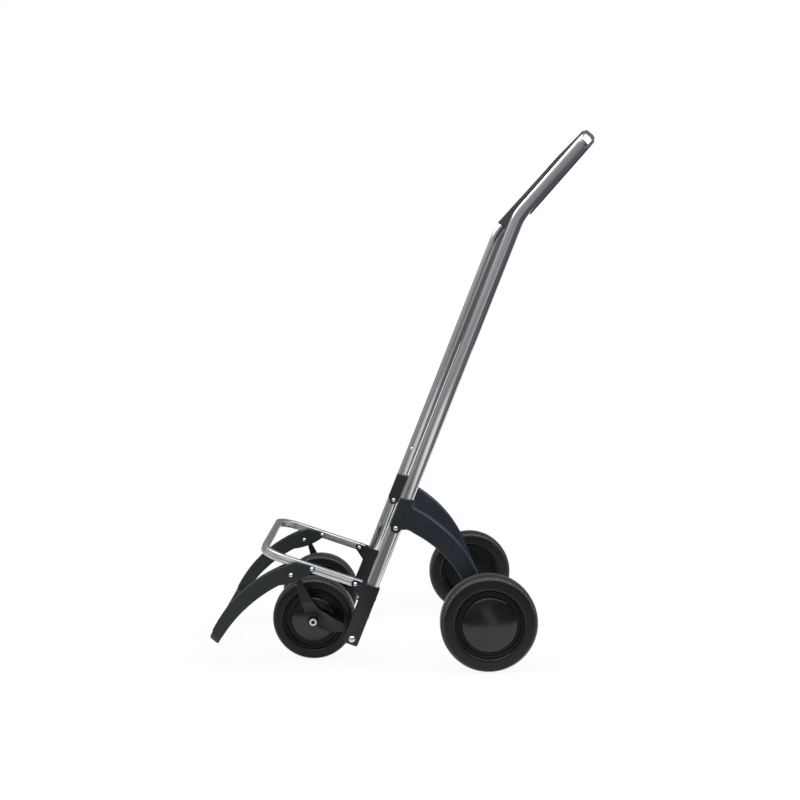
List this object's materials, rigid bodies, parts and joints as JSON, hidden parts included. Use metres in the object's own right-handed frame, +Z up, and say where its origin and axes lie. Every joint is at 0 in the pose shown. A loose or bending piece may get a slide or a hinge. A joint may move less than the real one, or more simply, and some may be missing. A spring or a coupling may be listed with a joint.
{
  "type": "shopping trolley frame",
  "caption": "Folding shopping trolley frame: bent aluminium handle tube, fold-up hoop platform, curved foot loop, rolling front wheels and larger rear wheels on swinging arms.",
  "frame": {"origin": "on the floor, midway between the foot tip and the handle tip and midway between the sides", "axes": "+X back towards the person who pulls it, +Y to that person's right as they face the front, +Z up"},
  "size_m": [0.7319, 0.4264, 0.9917],
  "materials": {
    "polished_aluminium": "polished drawn tube",
    "grip_plastic": "matt black",
    "foot_plastic": "grained charcoal",
    "bracket_plastic": "satin black moulding",
    "tyre_rubber": "matt black rubber",
    "rim_plastic": "satin black moulding",
    "cap_plastic": "glossy black moulding",
    "bush_plastic": "natural nylon",
    "steel": "plain zinc",
    "bright_steel": "bright plated"
  },
  "bodies": {
    "frame": {"handle_tube": "polished_aluminium", "handle_grip": "grip_plastic", "leg_studs": "bright_steel", "lower_bracket_left": "bracket_plastic", "lower_bracket_right": "bracket_plastic", "bracket_screws": "steel", "platform_pivot_rivets": "bright_steel", "arm_pivot_rivets": "bright_steel", "bracket_pivot_bolts": "bright_steel", "bracket_pivot_nuts": "bright_steel"},
    "platform": {"platform_hoop": "polished_aluminium", "platform_end_plugs": "bracket_plastic", "foot_pivot_rivets": "bright_steel"},
    "foot": {"foot_loop": "foot_plastic", "strut_studs": "bright_steel"},
    "fork": {"wheel_bracket_left": "bracket_plastic", "wheel_bracket_right": "bracket_plastic", "front_axle": "bright_steel", "front_spacer_tube": "steel", "front_axle_washers": "bright_steel"},
    "rear_arms": {"rear_arm_left": "bracket_plastic", "rear_arm_right": "bracket_plastic", "rear_axle": "steel", "rear_axle_washers": "bright_steel", "rear_push_nuts": "steel"},
    "front_wheel_left": {"front_tyre_left": "tyre_rubber", "front_rim_left": "rim_plastic", "front_hub_cap_left": "cap_plastic", "front_bushes_left": "bush_plastic"},
    "front_wheel_right": {"front_tyre_right": "tyre_rubber", "front_rim_right": "rim_plastic", "front_hub_cap_right": "cap_plastic", "front_bushes_right": "bush_plastic"},
    "rear_wheel_left": {"rear_tyre_left": "tyre_rubber", "rear_rim_left": "rim_plastic", "rear_hub_cap_left": "cap_plastic", "rear_bushes_left": "bush_plastic"},
    "rear_wheel_right": {"rear_tyre_right": "tyre_rubber", "rear_rim_right": "rim_plastic", "rear_hub_cap_right": "cap_plastic", "rear_bushes_right": "bush_plastic"}
  },
  "joints": [
    {"name": "platform_fold", "type": "hinge", "parent": "frame", "child": "platform", "pos_m": [-0.08988, 0, 0.15831], "axis": [0, 1, 0], "range_deg": [0, 92.5]},
    {"name": "fork_swing", "type": "hinge", "parent": "frame", "child": "fork", "pos_m": [-0.09839, 0, 0.0538], "axis": [0, 1, 0], "range_deg": [0, 43.66]},
    {"name": "foot_turn", "type": "hinge", "parent": "platform", "child": "foot", "pos_m": [-0.17006, 0, 0.18846], "axis": [0, 1, 0], "range_deg": [-102.26, 0]},
    {"name": "rear_arm_swing", "type": "hinge", "parent": "frame", "child": "rear_arms", "pos_m": [-0.01291, 0, 0.26171], "axis": [0, 1, 0], "range_deg": [0, 56]},
    {"name": "front_wheel_spin_left", "type": "hinge", "parent": "fork", "child": "front_wheel_left", "pos_m": [-0.17229, 0, 0.0792], "axis": [0, 1, 0], "continuous": true},
    {"name": "front_wheel_spin_right", "type": "hinge", "parent": "fork", "child": "front_wheel_right", "pos_m": [-0.17229, 0, 0.0792], "axis": [0, 1, 0], "continuous": true},
    {"name": "rear_wheel_spin_left", "type": "hinge", "parent": "rear_arms", "child": "rear_wheel_left", "pos_m": [0.15471, 0, 0.09], "axis": [0, 1, 0], "continuous": true},
    {"name": "rear_wheel_spin_right", "type": "hinge", "parent": "rear_arms", "child": "rear_wheel_right", "pos_m": [0.15471, 0, 0.09], "axis": [0, 1, 0], "continuous": true}
  ],
  "couplings": [
    {"joint": "fork_swing", "follows": "platform_fold", "ratio": 0.47093},
    {"joint": "foot_turn", "follows": "platform_fold", "ratio": -1.1045}
  ]
}
